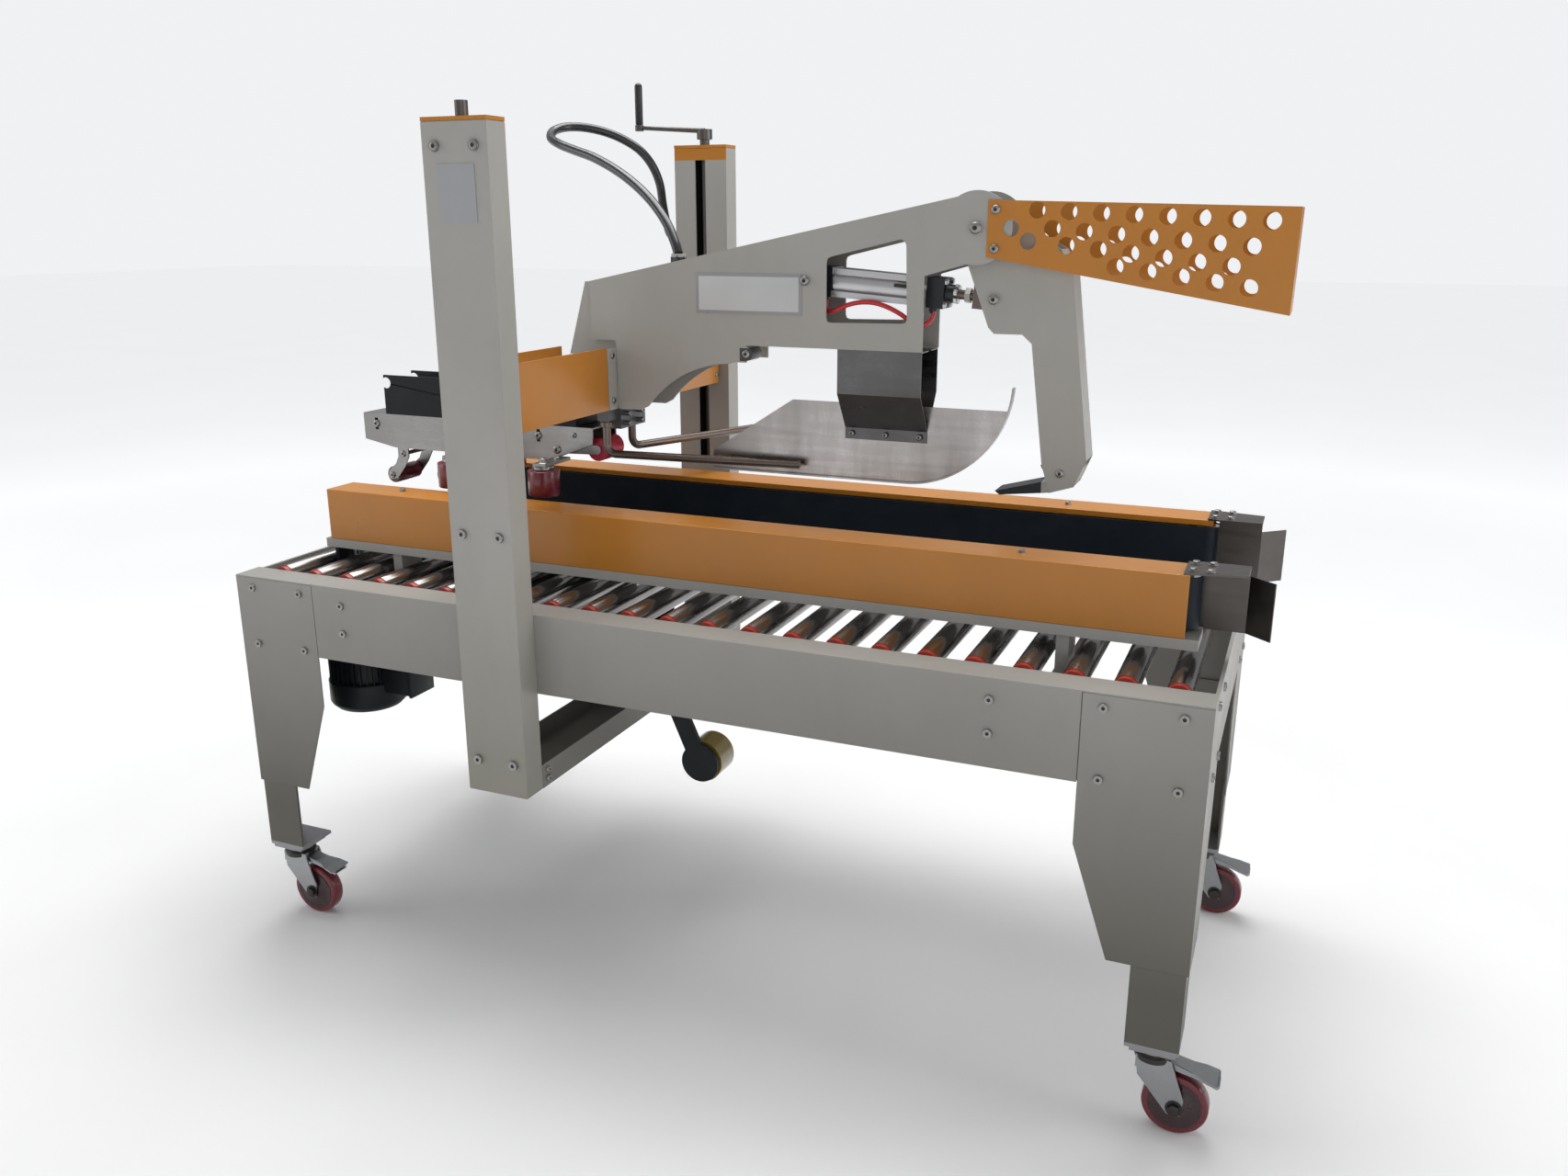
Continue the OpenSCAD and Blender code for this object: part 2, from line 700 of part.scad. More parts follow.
module drive_base() {
    at_bed() color("whitesmoke") {
        difference() {
            box([-801, -cover_outer, strip_z0], [838, -cover_inner, strip_z1]);
            bar_z(drive_x, -belt_y, shaft_r + fit, strip_z0 - 1, strip_z1 + 1);
        }
        for (x = [-guide_bar_x, guide_bar_x]) difference() {
            box([x - 15, 8 - cover_outer, 634], [x + 15, -cover_inner - 8, 668]);
            bar_y(x, guide_bar_z, guide_bar_r + fit, -cover_outer, -cover_inner);
        }
        for (x = [-guide_bar_x, guide_bar_x])
            box([x - 10, 8 - cover_outer, 668], [x + 10, -cover_inner - 8, strip_z0]);
        box([-745, 5 - belt_y, strip_z1], [775, 21 - belt_y, belt_z1 - 2]);
        bar_z(idler_x, -belt_y, shaft_r, strip_z1, belt_z1 + 4);
    }
}
module drive_cover() {
    at_bed() color("orange") {
        box([cover_x0, -cover_outer, cover_top - sheet], [cover_x1, -cover_inner, cover_top]);
        box([cover_x0, -cover_outer, strip_z1], [cover_x1, sheet - cover_outer, cover_top - sheet]);
        box([cover_x0, -cover_inner - 2, belt_z1 + 1], [cover_x1, -cover_inner, cover_top - sheet]);
    }
}
module belt_loop(r) {
    translate([drive_x, -belt_y]) circle(r=r);
    translate([idler_x, -belt_y]) circle(r=r);
    translate([drive_x, -belt_y - r]) square([idler_x - drive_x, 2 * r]);
}
module belt() {
    at_bed() color("black") translate([0, 0, belt_z0]) linear_extrude(belt_z1 - belt_z0) difference() {
        belt_loop(pulley_r + belt_t);
        belt_loop(pulley_r);
    }
}
module drive_pulley() {
    at_bed() color("silver") {
        bar_z(drive_x, -belt_y, pulley_r - 0.3, belt_z0 + 1, belt_z1 - 1);
        bar_z(drive_x, -belt_y, shaft_r, 610, belt_z0 + 1);
    }
}
module idler() {
    at_bed() color("silver") difference() {
        bar_z(idler_x, -belt_y, pulley_r - 0.3, belt_z0 + 1, belt_z1 - 1);
        bar_z(idler_x, -belt_y, shaft_r + fit, belt_z0, belt_z1);
    }
}
module infeed_guide() {
    face = belt_gap / 2;
    at_bed() color("silver") {
        box([828, -face - 2, 748], [898, -face, cover_top]);
        translate([0, 0, 748]) linear_extrude(90)
            polygon([[898, -face - 2], [898, -face], [936, -face - 34], [934.6, -face - 35.4]]);
        translate([0, 0, cover_top]) linear_extrude(3)
            polygon([[808, -cover_outer + 2], [808, -face - 5], [828, -face], [898, -face],
                [898, -cover_outer + 17]]);
        for (x = [820, 845], y = [167, 210]) bar_z(x, -y, 5, cover_top + 3, cover_top + 7);
    }
}
module motor() {
    at_bed() color("#202428") {
        difference() {
            box([drive_x - 50, -belt_y - 45, 566], [drive_x + 50, 45 - belt_y, 640]);
            bar_z(drive_x, -belt_y, shaft_r + fit, 609, 641);
        }
        bar_z(drive_x, -belt_y, motor_r, 404, 566);
        bar_z(drive_x, -belt_y, motor_r - 8, 390, 404);
        box([drive_x + 66, -belt_y - 34, 432], [drive_x + 138, 34 - belt_y, 545]);
        box([drive_x - 24, -belt_y - 32, 640], [drive_x - 15, 32 - belt_y, strip_z0]);
    }
}
module drive_base_near() { drive_base(); }
module drive_base_far() { far_side() drive_base(); }
module drive_cover_near() { drive_cover(); }
module drive_cover_far() { far_side() drive_cover(); }
module belt_near() { belt(); }
module belt_far() { far_side() belt(); }
module drive_pulley_near() { drive_pulley(); }
module drive_pulley_far() { far_side() drive_pulley(); }
module idler_near() { idler(); }
module idler_far() { far_side() idler(); }
module infeed_guide_near() { infeed_guide(); }
module infeed_guide_far() { far_side() infeed_guide(); }
module motor_near() { motor(); }
module motor_far() { far_side() motor(); }

// ---- casters, drawn around the swivel axis ----

module caster_at(sx, sy) { at_bed() translate([sx * caster_x, sy * caster_y, 0]) children(); }
module caster_fork(sx, sy) {
    caster_at(sx, sy) color("silver") {
        bar_z(0, 0, 26, 130, 142.5);
        box([-24, -21, 108], [28, 21, 130]);
        for (y = [-21, 18]) slab(y, y + 3)
            polygon([[-24, 130], [28, 130], [trail + 13, 66], [trail + 9, 38], [trail - 10, 38], [-20, 96]]);
        bar_y(trail, wheel_r, axle_r, -26, 26);
        slab(-15, 15) polygon([[26, 124], [26, 114], [62, 107], [96, 96], [pedal_reach, 100], [66, 113]]);
    }
}
module caster_wheel(sx, sy) {
    caster_at(sx, sy) color("maroon") difference() {
        union() {
            bar_y(trail, wheel_r, wheel_r, -13, 13);
            bar_y(trail, wheel_r, 14, -17, 17);
        }
        bar_y(trail, wheel_r, axle_r + fit, -18, 18);
    }
}
module caster_fork_nr() { caster_fork(1, -1); }
module caster_fork_fr() { caster_fork(1, 1); }
module caster_fork_nl() { caster_fork(-1, -1); }
module caster_fork_fl() { caster_fork(-1, 1); }
module caster_wheel_nr() { caster_wheel(1, -1); }
module caster_wheel_fr() { caster_wheel(1, 1); }
module caster_wheel_nl() { caster_wheel(-1, -1); }
module caster_wheel_fl() { caster_wheel(-1, 1); }

// ---- lower tape head ----

module lower_tape_head() {
    arm_top = [-212, 600];
    arm_end = [roll_x, roll_z];
    across = [arm_top[1] - arm_end[1], arm_end[0] - arm_top[0]] * 19 / norm(arm_end - arm_top);
    at_bed() color("dimgray") {
        for (s = [-1, 1]) slab(s > 0 ? 57 : -61, s > 0 ? 61 : -57)
            polygon([[-620, 690], [-205, 690], [-190, 640], [-190, 566], [-600, 566], [-620, 620]]);
        box([-600, -57, 566], [-190, 57, 570]);
        for (x = [-560, -262]) {
            bar_y(x, 694, 22, -50, 50);
            bar_y(x, 694, 6, -57, 57);
        }
        slab(-42, -34) {
            polygon([arm_top + across, arm_end + across, arm_end - across, arm_top - across]);
            translate(arm_end) circle(r=39);
            translate(arm_top) circle(r=19);
        }
        bar_y(arm_top[0], arm_top[1], 8, -57, 57);
        bar_y(roll_x, roll_z, 8, -34, roll_half + 3);
    }
}
module tape_roll() {
    at_bed() color("olive") difference() {
        bar_y(roll_x, roll_z, roll_r, -roll_half, roll_half);
        bar_y(roll_x, roll_z, 8 + fit, -roll_half - 1, roll_half + 1);
    }
}

rail_near();
rail_far();
leg_shells();
leg_feet();
column_near();
column_far();
base_beam();
bed_rollers();
frame_trim();
screw_near();
screw_far();
crank_arm();
crank_grip();
head_beam();
beam_covers();
boom();
boom_bracket();
guard();
fold_plate();
fold_bracket();
side_rod_near();
side_rod_far();
kicker_arm();
air_cylinder();
cylinder_rod();
air_hose();
supply_hose();
tape_frame();
tape_box();
apply_arm();
buff_arm();
exit_roller();
press_roller_1();
press_roller_2();
press_roller_3();
press_roller_4();
drive_base_near();
drive_cover_near();
belt_near();
drive_pulley_near();
idler_near();
infeed_guide_near();
motor_near();
drive_base_far();
drive_cover_far();
belt_far();
drive_pulley_far();
idler_far();
infeed_guide_far();
motor_far();
caster_fork_nr();
caster_fork_fr();
caster_fork_nl();
caster_fork_fl();
caster_wheel_nr();
caster_wheel_fr();
caster_wheel_nl();
caster_wheel_fl();
lower_tape_head();
tape_roll();
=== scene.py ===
import math

import bpy
import bmesh
from mathutils import Matrix, Vector


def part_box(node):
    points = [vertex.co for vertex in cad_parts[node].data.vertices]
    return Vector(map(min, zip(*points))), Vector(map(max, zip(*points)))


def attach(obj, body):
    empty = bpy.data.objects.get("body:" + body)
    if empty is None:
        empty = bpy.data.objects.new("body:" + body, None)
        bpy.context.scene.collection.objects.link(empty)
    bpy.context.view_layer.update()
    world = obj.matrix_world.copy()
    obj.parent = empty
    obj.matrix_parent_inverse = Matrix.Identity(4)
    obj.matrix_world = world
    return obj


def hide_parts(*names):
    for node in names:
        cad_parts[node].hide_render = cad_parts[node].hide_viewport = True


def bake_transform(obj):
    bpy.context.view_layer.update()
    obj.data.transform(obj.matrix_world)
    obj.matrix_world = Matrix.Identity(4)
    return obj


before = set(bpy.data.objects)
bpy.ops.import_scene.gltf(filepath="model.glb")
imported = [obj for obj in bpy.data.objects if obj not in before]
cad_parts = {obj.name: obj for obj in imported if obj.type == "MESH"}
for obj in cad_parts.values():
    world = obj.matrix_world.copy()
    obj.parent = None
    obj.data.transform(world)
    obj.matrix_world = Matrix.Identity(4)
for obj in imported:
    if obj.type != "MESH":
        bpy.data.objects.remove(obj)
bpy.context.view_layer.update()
MM = 0.001
BED_X = sum(v.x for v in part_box("rail_near")) / 2


def at(x, y, z):
    """A point given in millimetres from the floor under the middle of the bed."""
    return Vector((BED_X + x * MM, y * MM, z * MM))


# ---- camera ----

PHOTO_W = 1706
FOCAL_PX = 1379.85
SENSOR = 36
cam_data = bpy.data.cameras.new("camera")
cam_data.sensor_width = SENSOR
cam_data.lens = FOCAL_PX / PHOTO_W * SENSOR
camera = bpy.data.objects.new("camera", cam_data)
camera.location = at(964.85, -2106.98, 1349.55)
camera.rotation_euler = (math.radians(90 - 16.17), 0, math.radians(22.88))
bpy.context.scene.collection.objects.link(camera)
bpy.context.scene.camera = camera


# ---- hoses, which repeat the routes of the CAD source ----

SUPPLY_ROUTE = [
    (-356.2, 420, 1318), (-368, 419, 1321), (-374, 415, 1344), (-377, 406, 1382),
    (-377, 394, 1424), (-386, 380, 1460), (-406, 366, 1490), (-436, 349, 1512),
    (-470, 330, 1527), (-505, 305, 1535), (-530, 275, 1534), (-537, 240, 1524),
    (-522, 208, 1509), (-485, 180, 1495), (-435, 158, 1481), (-380, 135, 1466),
    (-320, 109, 1443), (-262, 80, 1415), (-210, 52, 1382), (-168, 27, 1345),
    (-142, 8, 1311), (-132, 1, 1292),
]
AIR_ROUTE = [
    (161, -14, 1222), (163, -22, 1206), (172, -29, 1199), (187, -31, 1203), (206, -31, 1211),
    (228, -31, 1216), (252, -31, 1216), (276, -31, 1210), (300, -31, 1199), (320, -30, 1186),
    (338, -24, 1181), (350, -16, 1190), (353, -12, 1208),
]


def smooth_route(points, steps):
    """Points on a smooth curve through the given ones."""
    p = [points[0] * 2 - points[1], *points, points[-1] * 2 - points[-2]]
    out = []
    for i in range(1, len(p) - 2):
        for k in range(steps):
            t = k / steps
            a, b, c, d = p[i - 1:i + 3]
            out.append(0.5 * (2 * b + (c - a) * t + (2 * a - 5 * b + 4 * c - d) * t * t
                              + (3 * b - a - 3 * c + d) * t ** 3))
    return out + [points[-1]]


def add_mesh(name, bm, body, material, smooth=True):
    """Turns a bmesh into a piece that rides on a body."""
    mesh = bpy.data.meshes.new(name)
    bmesh.ops.recalc_face_normals(bm, faces=bm.faces)
    bm.to_mesh(mesh)
    bm.free()
    obj = bpy.data.objects.new(name, mesh)
    bpy.context.scene.collection.objects.link(obj)
    mesh.materials.append(material)
    if smooth:
        mesh.shade_smooth()
        mesh.set_sharp_from_angle(angle=math.radians(35))
    if body:
        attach(obj, body)
    return obj


def sweep(bm, path, radius, sides=16):
    """A round tube along a path, in a frame that doesn't twist."""
    rings = []
    d = (path[1] - path[0]).normalized()
    side = d.orthogonal().normalized()
    for i, p in enumerate(path):
        d = (path[min(i + 1, len(path) - 1)] - path[max(i - 1, 0)]).normalized()
        side = (side - d * side.dot(d)).normalized()
        up = d.cross(side)
        rings.append([bm.verts.new(p + radius * (math.cos(a) * side + math.sin(a) * up))
                      for a in (2 * math.pi * k / sides for k in range(sides))])
    for a, b in zip(rings, rings[1:]):
        for k in range(sides):
            bm.faces.new((a[k], a[(k + 1) % sides], b[(k + 1) % sides], b[k]))
    bm.faces.new(rings[0][::-1])
    bm.faces.new(rings[-1])


# ---- materials ----

class Surface:
    """Builds one node material in the part's own coordinates."""

    def __init__(self, name):
        self.mat = bpy.data.materials.new(name)
        self.mat.use_nodes = True
        self.nodes = self.mat.node_tree.nodes
        self.links = self.mat.node_tree.links
        self.shader = self.nodes["Principled BSDF"]
        coord = self.nodes.new("ShaderNodeTexCoord")
        self.coord = coord.outputs["Object"]

    def stretched(self, scale):
        node = self.nodes.new("ShaderNodeMapping")
        node.inputs["Scale"].default_value = scale
        self.links.new(self.coord, node.inputs["Vector"])
        return node.outputs["Vector"]

    def noise(self, scale, detail=3, stretch=None, roughness=0.55):
        node = self.nodes.new("ShaderNodeTexNoise")
        node.inputs["Scale"].default_value = scale
        node.inputs["Detail"].default_value = detail
        node.inputs["Roughness"].default_value = roughness
        source = self.stretched(stretch) if stretch else self.coord
        self.links.new(source, node.inputs["Vector"])
        return node.outputs["Fac"]

    def remap(self, value, low, high, start=0.3, end=0.7):
        node = self.nodes.new("ShaderNodeMapRange")
        node.inputs["From Min"].default_value = start
        node.inputs["From Max"].default_value = end
        node.inputs["To Min"].default_value = low
        node.inputs["To Max"].default_value = high
        self.links.new(value, node.inputs["Value"])
        return node.outputs["Result"]

    def blend_color(self, mask, a, b):
        node = self.nodes.new("ShaderNodeMix")
        node.data_type = "RGBA"
        self.links.new(mask, node.inputs["Factor"])
        for socket, value in ((node.inputs[6], a), (node.inputs[7], b)):
            if isinstance(value, tuple):
                socket.default_value = (*value, 1)
            else:
                self.links.new(value, socket)
        return node.outputs[2]

    def blend_value(self, mask, a, b):
        node = self.nodes.new("ShaderNodeMix")
        self.links.new(mask, node.inputs["Factor"])
        for socket, value in ((node.inputs[2], a), (node.inputs[3], b)):
            if isinstance(value, (int, float)):
                socket.default_value = value
            else:
                self.links.new(value, socket)
        return node.outputs[0]

    def math(self, operation, a, b):
        node = self.nodes.new("ShaderNodeMath")
        node.operation = operation
        for socket, value in ((node.inputs[0], a), (node.inputs[1], b)):
            if isinstance(value, (int, float)):
                socket.default_value = value
            else:
                self.links.new(value, socket)
        return node.outputs[0]

    def inside(self, limits):
        """1 in a box given in metres as {"x": (low, high), ...}, with None for no limit."""
        node = self.nodes.new("ShaderNodeSeparateXYZ")
        self.links.new(self.coord, node.inputs[0])
        mask = None
        for axis, (low, high) in limits.items():
            value = node.outputs["XYZ".index(axis[-1].upper())]
            if axis.startswith("abs"):
                value = self.math("ABSOLUTE", value, 0)
            tests = []
            if low is not None:
                tests.append(self.math("GREATER_THAN", value, low))
            if high is not None:
                tests.append(self.math("LESS_THAN", value, high))
            for t in tests:
                mask = t if mask is None else self.math("MULTIPLY", mask, t)
        return mask

    def bump(self, height, strength, distance=0.0004):
        node = self.nodes.new("ShaderNodeBump")
        node.inputs["Strength"].default_value = strength
        node.inputs["Distance"].default_value = distance
        self.links.new(height, node.inputs["Height"])
        self.links.new(node.outputs["Normal"], self.shader.inputs["Normal"])

    def apply(self, color, rough, metal=None):
        for name, value in (("Base Color", color), ("Roughness", rough), ("Metallic", metal)):
            if value is None:
                continue
            socket = self.shader.inputs[name]
            if isinstance(value, (int, float)):
                socket.default_value = value
            elif isinstance(value, tuple):
                socket.default_value = (*value, 1)
            else:
                self.links.new(value, socket)
        return self.mat


def shade(color, k):
    return tuple(min(1, c * k) for c in color)


def paint(name, color, rough, zones=(), coat=0.0, grime=0.1, peel=0.12, dust_and_shade=1.0):
    """Powder coat: orange peel, clouding, handling marks, and painted shade that darkens it towards the
    floor, tinted slightly olive like dust.
    """
    s = Surface(name)
    cloud = s.remap(s.noise(2.6, 5), 0, 1)
    smudge = s.remap(s.noise(11, 6, (1, 1, 0.35), 0.65), 0, 1, 0.48, 0.74)
    base = s.blend_color(cloud, shade(color, 1 - grime), shade(color, 1 + grime * 0.35))
    base = s.blend_color(s.math("MULTIPLY", smudge, 0.22), base, shade(color, 0.72))
    # Painted shade: below 1, the colour fades to this darker, dust-tinted one from 0.85 m down to 0.25 m.
    if dust_and_shade < 1:
        height = s.nodes.new("ShaderNodeSeparateXYZ")
        s.links.new(s.coord, height.inputs[0])
        low = s.remap(height.outputs[2], 1, 0, 0.25, 0.85)
        base = s.blend_color(low, base, (color[0] * dust_and_shade, color[1] * dust_and_shade * 0.98, color[2] * dust_and_shade * 0.85))
    roughness = s.remap(s.noise(7, 5), rough - 0.07, rough + 0.1)
    metal = None
    for limits, zone_color, zone_rough, zone_metal in zones:
        mask = s.inside(limits)
        base = s.blend_color(mask, base, zone_color)
        roughness = s.blend_value(mask, roughness, zone_rough)
        if zone_metal or metal is not None:
            metal = s.blend_value(mask, metal if metal is not None else 0.0, zone_metal)
    s.bump(s.noise(620, 2), peel)
    s.shader.inputs["Coat Weight"].default_value = coat
    s.shader.inputs["Coat Roughness"].default_value = 0.18
    return s.apply(base, roughness, metal)


def steel(name, color, rough, stretch, zones=(), smear=0.5, scratch=0.12, metal=1.0, run=None):
    """Bare metal with a grain along one direction, and reflections smeared along run."""
    s = Surface(name)
    grain = s.noise(90, 4, stretch)
    smears = s.remap(s.noise(6.5, 6, run, 0.6), 0, 1)
    base = s.blend_color(s.math("MULTIPLY", smears, smear), color, shade(color, 0.62))
    roughness = s.math("ADD", s.remap(grain, rough - 0.05, rough + 0.07),
                       s.remap(smears, -0.04, 0.12, 0, 1))
    metallic = metal
    for limits, zone_color, zone_rough, zone_metal in zones:
        mask = s.inside(limits)
        base = s.blend_color(mask, base, zone_color)
        roughness = s.blend_value(mask, roughness, zone_rough)
        metallic = s.blend_value(mask, metallic, zone_metal)
    s.bump(grain, scratch)
    return s.apply(base, roughness, metallic)


def rubber(name, color, rough, scale=300, strength=0.25, coat=0.0, specular=0.5):
    """Rubber, polyurethane or moulded plastic with a fine texture and dust."""
    s = Surface(name)
    dust_and_shade = s.remap(s.noise(24, 6), 0, 1, 0.45, 0.8)
    base = s.blend_color(s.math("MULTIPLY", dust_and_shade, 0.3), color, tuple(c * 0.85 + 0.02 for c in color))
    roughness = s.remap(s.noise(15, 4), rough - 0.08, rough + 0.12)
    s.bump(s.noise(scale, 3), strength)
    s.shader.inputs["Specular IOR Level"].default_value = specular
    s.shader.inputs["Coat Weight"].default_value = coat
    return s.apply(base, roughness)


GREY = (0.38, 0.37, 0.343)
AMBER = (0.5, 0.188, 0.013)
STEEL = (0.34, 0.33, 0.317)
CHROME = (0.78, 0.78, 0.79)
BLACK = (0.007, 0.009, 0.012)
MAROON = (0.15, 0.014, 0.024)
RED = (0.45, 0.015, 0.04)
CAP_RED = (0.33, 0.025, 0.014)
ALONG_X = (0.06, 1, 1)
ALONG_Y = (1, 0.06, 1)
ALONG_Z = (1, 1, 0.06)


def row_x(x):
    return BED_X + x * MM


grey = paint("powder_grey", GREY, 0.42)
# Painted shade: the frame's paint darkens strongly towards the floor.
frame_grey = paint("frame_grey", GREY, 0.42, dust_and_shade=0.25)
# Painted shade: the columns' paint darkens towards the floor.
column_grey = paint("column_grey", GREY, 0.42, dust_and_shade=0.6, zones=[
    # Painted shade: the inside of each hollow column, between its walls, is painted near-black.
    ({"absy": (0.3938, 0.4342), "x": (row_x(-335.2), row_x(-222.8))}, (0.02, 0.02, 0.02), 0.6, 0.0),
    ({"absy": (None, 0.3912), "z": (1.47, None)}, AMBER, 0.35, 0.0),
])
# Painted shade: the feet's paint darkens strongly towards the floor.
foot_grey = paint("foot_grey", GREY, 0.42, dust_and_shade=0.25, zones=[
    ({"z": (None, 0.1565)}, (0.3, 0.3, 0.31), 0.35, 0.6),
])
bracket_grey = paint("bracket_grey", GREY, 0.42, zones=[
    ({"z": (None, 1.0129)}, (0.12, 0.12, 0.125), 0.4, 0.5),
    ({"x": (row_x(11.8), None), "y": (None, -0.0078), "z": (1.1105, 1.1336)}, (0.05, 0.05, 0.05), 0.4, 0.0),
])
amber = paint("amber_paint", AMBER, 0.34, coat=0.25)
trim_paint = paint("trim", AMBER, 0.36, zones=[
    ({"z": (None, 1.4935)}, STEEL, 0.3, 1.0),
    ({"z": (1.344, 1.433), "y": (None, -0.436)}, (0.34, 0.345, 0.36), 0.35, 0.0),
])
kicker_paint = paint("kicker_paint", GREY, 0.42, zones=[
    ({"z": (None, 0.9605), "x": (None, row_x(552))}, BLACK, 0.5, 0.0),
])
brushed = steel("brushed_steel", STEEL, 0.27, ALONG_X)
arm_steel = steel("arm_steel", STEEL, 0.27, ALONG_X, zones=[
    ({"absy": (None, 0.0317), "x": (row_x(-320.5), None)}, RED, 0.3, 0.0),
    ({"absy": (None, 0.0317), "x": (None, row_x(-630.5))}, RED, 0.3, 0.0),
])
guide_steel = steel("guide_steel", (0.14, 0.127, 0.117), 0.32, ALONG_X)
fold_steel = steel("fold_steel", (0.56, 0.53, 0.515), 0.25, ALONG_X, smear=1.0, scratch=0.06,
                   run=(1.4, 1, 0.3))
bracket_steel = steel("bracket_steel", (0.16, 0.155, 0.155), 0.28, ALONG_X, smear=0.7)
dark_steel = steel("dark_steel", (0.13, 0.12, 0.11), 0.36, ALONG_Z)
hub_steel = steel("hub_steel", (0.07, 0.067, 0.064), 0.36, (1, 1, 1))
rod_steel = steel("rod_steel", (0.2, 0.16, 0.14), 0.28, ALONG_X)
polished = steel("chrome", CHROME, 0.12, ALONG_Y, smear=0.25, scratch=0.05)
bed_steel = steel("bed_steel", (0.27, 0.26, 0.255), 0.2, ALONG_Y, smear=0.6, scratch=0.05, zones=[
    ({"absy": (0.3195, 0.3305)}, CAP_RED, 0.35, 0.0),
    ({"absy": (None, 0.0752), "x": (row_x(-625), row_x(-205))}, CAP_RED, 0.35, 0.0),
])
zinc = steel("zinc_plate", (0.4, 0.41, 0.42), 0.3, (1, 1, 1), smear=0.6, scratch=0.2)
screw_steel = steel("screw_steel", (0.36, 0.355, 0.34), 0.3, (1, 1, 1))
aluminium = steel("aluminium", (0.6, 0.6, 0.61), 0.33, ALONG_X, smear=0.3, zones=[
    ({"x": (None, row_x(176))}, BLACK, 0.4, 0.0),
    ({"x": (row_x(342), None)}, BLACK, 0.4, 0.0),
])
belt = rubber("belt_rubber", (0.003, 0.009, 0.017), 0.5, 500, 0.35, specular=0.3)
maroon = rubber("maroon_polyurethane", MAROON, 0.26, 200, 0.1, coat=0.3)
black_paint = rubber("black_paint", BLACK, 0.42, 420, 0.2, specular=0.25)
black_plastic = rubber("black_plastic", (0.012, 0.012, 0.013), 0.35, 300, 0.15)
hose_rubber = rubber("hose_rubber", (0.01, 0.011, 0.013), 0.3, 160, 0.08, coat=0.3)
air_red = rubber("air_hose_red", (0.55, 0.015, 0.02), 0.25, 160, 0.05, coat=0.4)
# Near-black fill for the bolt sockets: painted shade standing in for their holes.
painted_socket_shade = rubber("dark_recess", (0.01, 0.01, 0.01), 0.6)


def tape_material():
    """Clear brown tape wound in layers: rings on the faces, gloss on the rim."""
    s = Surface("wound_tape")
    lines = s.noise(900, 2, (0.4, 1, 0.4))
    base = s.blend_color(s.remap(lines, 0, 1), (0.14, 0.095, 0.012), (0.27, 0.2, 0.04))
    s.bump(lines, 0.25)
    s.shader.inputs["Coat Weight"].default_value = 0.6
    s.shader.inputs["Coat Roughness"].default_value = 0.08
    return s.apply(base, s.remap(s.noise(9, 4), 0.12, 0.3))


tape = tape_material()

NODE_MATERIALS = {
    grey: ["head_beam", "boom", "drive_base_near", "drive_base_far"],
    frame_grey: ["rail_near", "rail_far", "leg_shells", "base_beam"],
    column_grey: ["column_near", "column_far"],
    foot_grey: ["leg_feet"],
    bracket_grey: ["boom_bracket"],
    kicker_paint: ["kicker_arm"],
    amber: ["beam_covers", "guard", "drive_cover_near", "drive_cover_far"],
    trim_paint: ["frame_trim"],
    bed_steel: ["bed_rollers"],
    dark_steel: ["screw_near", "screw_far", "crank_arm"],
    rod_steel: ["side_rod_near", "side_rod_far", "cylinder_rod"],
    black_plastic: ["crank_grip"],
    fold_steel: ["fold_plate"],
    bracket_steel: ["fold_bracket"],
    brushed: ["tape_frame"],
    arm_steel: ["apply_arm", "buff_arm"],
    guide_steel: ["infeed_guide_near", "infeed_guide_far"],
    aluminium: ["air_cylinder"],
    air_red: ["air_hose"],
    hose_rubber: ["supply_hose"],
    black_paint: ["tape_box", "motor_near", "motor_far", "lower_tape_head"],
    maroon: ["exit_roller", "press_roller_1", "press_roller_2", "press_roller_3", "press_roller_4",
             "caster_wheel_nr", "caster_wheel_fr", "caster_wheel_nl", "caster_wheel_fl"],
    belt: ["belt_near", "belt_far"],
    polished: ["drive_pulley_near", "drive_pulley_far", "idler_near", "idler_far"],
    zinc: ["caster_fork_nr", "caster_fork_fr", "caster_fork_nl", "caster_fork_fl"],
    tape: ["tape_roll"],
}
for material, names in NODE_MATERIALS.items():
    for name in names:
        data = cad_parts[name].data
        data.materials.clear()
        data.materials.append(material)


# ---- small hardware ----

def turned(bm, centre, axis, profile, sides=24):
    """A turned piece: profile is (distance along the axis, radius) in millimetres."""
    a = axis.normalized()
    side = a.orthogonal().normalized()
    up = a.cross(side)
    rings = []
    for along, radius in profile:
        c = centre + a * along * MM
        rings.append([bm.verts.new(c + radius * MM * (math.cos(t) * side + math.sin(t) * up))
                      for t in (2 * math.pi * k / sides for k in range(sides))])
    for p, q in zip(rings, rings[1:]):
        for k in range(sides):
            bm.faces.new((p[k], p[(k + 1) % sides], q[(k + 1) % sides], q[k]))
    bm.faces.new(rings[0][::-1])
    bm.faces.new(rings[-1])


def block(bm, low, high, bevel=0.8):
    """A box with bevelled edges, between two corners given as points."""
    size = high - low
    made = bmesh.ops.create_cube(bm, size=1, matrix=Matrix.Translation((low + high) / 2)
                                 @ Matrix.Diagonal((*size, 1)))
    edges = list({e for v in made["verts"] for e in v.link_edges})
    bmesh.ops.bevel(bm, geom=edges, offset=bevel * MM, segments=2, affect="EDGES", profile=0.6)


